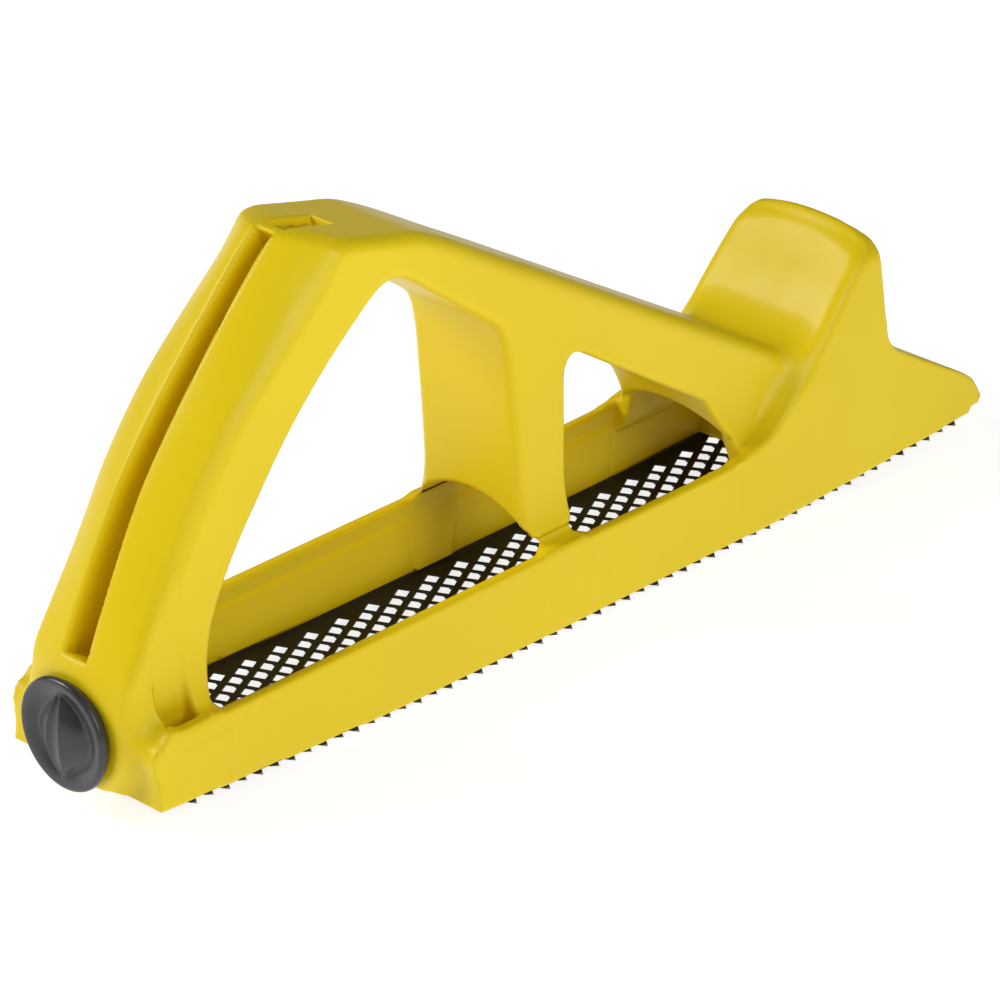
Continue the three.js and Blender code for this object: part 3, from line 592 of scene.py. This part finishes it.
# Black oxide with paler scale, and bare steel where the tips are ground
black_steel, at, feed = finish("blackened steel", Metallic=0.2, Specular_IOR_Level=0.2)
scale_mark = at.noise(70, 4, 0.6).between(0.35, 0.7)
streak = at.noise(400, 3, 0.6)
bare = at.node("ShaderNodeAttribute", {"attribute_name": "ground"}, {}, 2).between(0.45, 0.95)
feed(Base_Color=bare.mix(scale_mark.mix((0.010, 0.010, 0.012, 1), (0.026, 0.026, 0.03, 1)),
                         (0.42, 0.42, 0.44, 1)),
     Roughness=0.40 + 0.14 * scale_mark + 0.06 * streak, Normal=streak.bump(0.12, 0.0001))
dress(plate, black_steel)
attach(plate, "plane")
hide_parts("blade")

# The knob
# Turned by finger and thumb: a disc with two shallow dishes and a domed bar between
# them, moulded in glossy black plastic round the head of the tension screw.
knob_radius = 12.6
knob_back = -5.0
knob_face = -8.4
rim_round = 0.9
dish_depth = 1.3
hub_face = -2.6
bar_half_length, bar_half_width = 11.0, 5.6
bar_peak, bar_fall = -10.75, 3.2
crest_place, crest_dip, crest_flank = 0.34, 0.45, 1.25


def knob_surface(turns, rings):
    """Points of the knob, ring by ring from the middle of its face over the rim and the
    back into the bore. On the face the height is the dish's floor or the bar, whichever
    stands higher, with a fillet between them. The bar's outline is an almond, narrowing
    with the square of the way to its ends, and its top dips between two crests, beyond
    which the flanks fall straight. Heights are along X, and less is further out."""
    angle = np.linspace(0, 2 * np.pi, turns, endpoint=False)[None, :]
    flat_radius = knob_radius - rim_round
    out = np.linspace(1, 0, rings)[:, None]
    r = flat_radius * out ** 0.9
    across = r * np.sin(angle)
    tall = r * np.cos(angle)
    floor = knob_face + dish_depth * (1 - step(0.62, 0.99, r / flat_radius) ** 0.8)
    chord = np.clip(np.abs(tall) / bar_half_length, 0, 1)
    half = bar_half_width * (1 - chord ** 2) + 0.05
    crest = np.abs(across) / (crest_place * half)
    bar = bar_peak + bar_fall * chord ** 2
    bar += np.where(crest < 1, crest_dip * (1 - crest ** 2), crest_flank * np.abs(crest - 1))
    soft = 0.35
    height = -np.logaddexp(-floor / soft, -bar / soft) * soft
    face = np.stack((height, across, tall + screw_height), -1)[::-1]

    # From the rim's rounding: lip, tapered side, back, recess and bore, as x and radius
    profile = [(knob_face + rim_round - rim_round * np.sin(t), flat_radius + rim_round * np.cos(t))
               for t in np.linspace(0.5 * np.pi, 0, 7)[1:]]
    profile += [(knob_face + 1.3, knob_radius), (knob_face + 1.5, knob_radius - 0.12)]
    profile += [(knob_back - 0.3, 11.3), (knob_back - 0.08, 11.15), (knob_back, 10.9)]
    profile += [(knob_back, 10.0), (knob_back, 7.05), (knob_back + 0.2, 7.0), (hub_face, 7.0)]
    profile += [(hub_face, 3.35), (-7.2, 3.3), (-7.25, 0.0)]
    x, r = np.array(profile).T[:, :, None]
    side = np.stack((x + 0 * angle, r * np.sin(angle), r * np.cos(angle) + screw_height), -1)
    return np.concatenate((face, side))


def lathed(rows):
    """Quads between the rows of a closed surface, each row a ring round the axis."""
    count, turns = rows.shape[:2]
    index = np.arange(count * turns).reshape(count, turns)
    after = np.roll(index, -1, 1)
    return np.stack((index[:-1], after[:-1], after[1:], index[1:]), -1).reshape(-1, 4)


rows = knob_surface(turns=160, rings=64)
knob = new_piece("knob_moulding", in_frame(rows.reshape(-1, 3)), lathed(rows))
black, at, feed = finish("black plastic", IOR=1.5)
speck = at.noise(900, 3, 0.6)
handling = at.noise(160, 3, 0.55).between(0.35, 0.7)
feed(Base_Color=handling.mix((0.030, 0.030, 0.032, 1), (0.042, 0.042, 0.045, 1)),
     Roughness=0.24 + 0.12 * handling + 0.05 * speck, Normal=speck.bump(0.08, 0.0001))
dress(knob, black)
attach(knob, "knob")
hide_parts("knob")

# The hardware
# Screw, washer, clip, nut and hooks are steel with a bright zinc coat, mostly hidden in
# the heel and under the nose.
zinc, at, feed = finish("zinc plate", Metallic=1.0)
spangle = at.noise(260, 4, 0.6).between(0.3, 0.7)
feed(Base_Color=spangle.mix((0.52, 0.53, 0.55, 1), (0.66, 0.67, 0.68, 1)),
     Roughness=0.26 + 0.16 * spangle, Normal=at.noise(900, 2).bump(0.1, 0.0001))
for node in ("tension_screw", "thrust_washer", "screw_clip", "tension_hook", "tension_nut",
             "nose_hook", "nose_screw"):
    dress(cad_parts[node], zinc)

# Floor, light and camera
# A wide white floor under the teeth that glows like a light table, a key light high on the
# right, a soft box behind the left shoulder for the horn's sheen, and a long lens.
floor_half, floor_height = 8, -0.0004
floor = new_piece("floor", [(way_x * floor_half, way_y * floor_half, floor_height)
                            for way_x, way_y in ((-1, -1), (1, -1), (1, 1), (-1, 1))],
                  [(0, 1, 2, 3)])
paper, at, feed = finish("light table", Roughness=0.9, Emission_Color=(1, 1, 1, 1),
                         Emission_Strength=0.8)
feed(Base_Color=at.noise(3).between(0.2, 0.8).mix((0.48, 0.48, 0.48, 1), (0.50, 0.50, 0.50, 1)))
dress(floor, paper)


def soft_box(name, way, distance, wide, tall, power, toward=0.0, height=0.05):
    """Rectangular area light that looks back, from a direction, at a place along the plane."""
    light = bpy.data.lights.new(name, "AREA")
    light.shape, light.size, light.size_y, light.energy = "RECTANGLE", wide, tall, power
    lamp = bpy.data.objects.new(name, light)
    place = np.array(way, float) / np.linalg.norm(way) * distance
    lamp.location = place + np.array([toward, 0, height])
    lamp.rotation_euler = Vector(place).to_track_quat("Z", "Y").to_euler()
    bpy.context.scene.collection.objects.link(lamp)


soft_box("key", (0.02, -0.85, 0.50), distance=0.8, wide=0.45, tall=0.45, power=2.9,
         toward=-0.16)
soft_box("sheen", (-0.56, 0.62, 0.57), distance=1.6, wide=0.45, tall=0.8, power=16)
world = bpy.data.worlds.new("studio")
world.use_nodes = True
world.node_tree.nodes["Background"].inputs["Color"].default_value = (1, 1, 1, 1)
world.node_tree.nodes["Background"].inputs["Strength"].default_value = 0.12
bpy.context.scene.world = world
bpy.context.scene.view_settings.view_transform = "Standard"

# The camera as solved from the rows of teeth and holes in the photograph
turn, rise, roll = np.radians((-45.577, 26.842, -0.5))
back = np.array([np.sin(turn) * np.cos(rise), -np.cos(turn) * np.cos(rise), np.sin(rise)])
level = np.array([np.cos(turn), np.sin(turn), 0])
upward = np.cross(back, level)
right = np.cos(roll) * level + np.sin(roll) * upward
upward = np.cos(roll) * upward - np.sin(roll) * level
aim = np.array([body_rear + 0.125, 0, 0.04])
to_left, downward, away = 0.003661, 0.015616, 1.14156
spot = aim - to_left * right - downward * upward + away * back
camera = bpy.data.objects.new("camera", bpy.data.cameras.new("camera"))
camera.data.lens, camera.data.sensor_width = 189.306, 36
pose = np.eye(4)
pose[:3, :3] = np.stack((right, upward, back), 1)
pose[:3, 3] = spot
camera.matrix_world = Matrix(pose.tolist())
bpy.context.scene.collection.objects.link(camera)
bpy.context.scene.camera = camera
